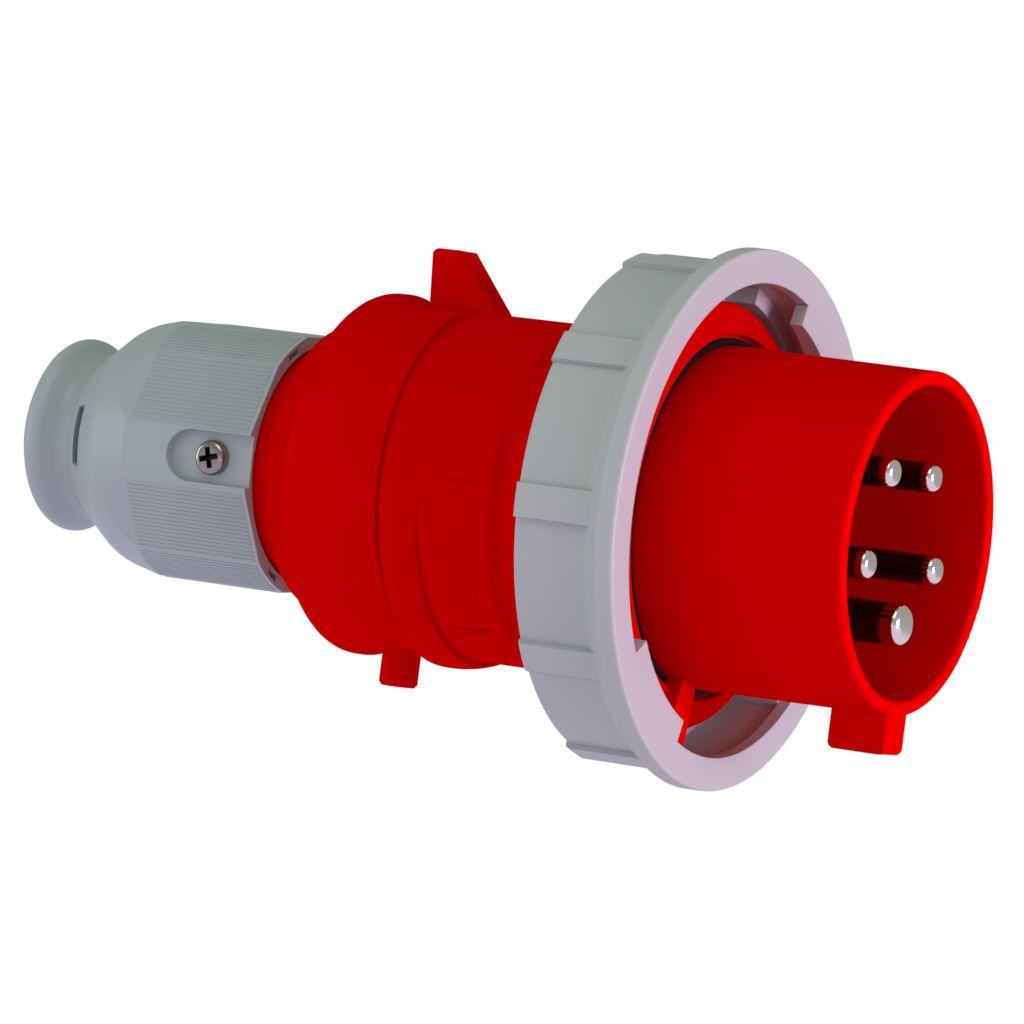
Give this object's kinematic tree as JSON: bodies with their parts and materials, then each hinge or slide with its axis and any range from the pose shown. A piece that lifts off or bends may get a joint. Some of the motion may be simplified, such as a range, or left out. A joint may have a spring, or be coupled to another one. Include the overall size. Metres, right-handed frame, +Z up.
{
  "type": "industrial pin and sleeve plug",
  "caption": "Red watertight pin and sleeve power plug with keyed shroud, grey bayonet locking ring and hexagonal cable gland.",
  "frame": {"origin": "centre of the shroud's mouth, on the plug's axis", "axes": "+X out of the mouth, the way the plug goes into its socket; +Z up, away from the key; +Y to the right seen from the cable end, so that angles round the axis go from +Y towards +Z"},
  "size_m": [0.1662, 0.09, 0.09],
  "materials": {
    "red_plastic": "satin moulded polyamide",
    "grey_plastic": "satin moulded polyamide",
    "gland_plastic": "satin moulded polyamide",
    "black_plastic": "matt",
    "black_rubber": "matt",
    "nickel": "nickel plated",
    "steel": "zinc plated",
    "brass": "turned"
  },
  "bodies": {
    "plug": {"front_shell": "red_plastic", "ring_retainer": "red_plastic", "face_gasket": "black_rubber", "contact_carrier": "black_plastic", "pin_l1": "nickel", "pin_l2": "nickel", "pin_l3": "nickel", "pin_neutral": "nickel", "pin_earth": "nickel", "terminal_screws": "steel", "earth_terminal_screw": "steel", "retainer_plate": "grey_plastic", "carrier_screws": "steel", "lock_peg": "red_plastic", "peg_spring": "steel", "housing_seal": "black_rubber", "rear_housing": "red_plastic", "neck_o_ring": "black_rubber", "gland_nut": "gland_plastic", "lock_screw": "steel", "slip_ring": "brass", "clamp_collet": "grey_plastic", "cable_grommet": "black_rubber"},
    "ring": {"locking_ring": "grey_plastic"}
  },
  "joints": [
    {"name": "ring_turn", "type": "hinge", "parent": "plug", "child": "ring", "pos_m": [-0.042, 0, 0], "axis": [1, 0, 0], "range_deg": [-50, 0]}
  ]
}
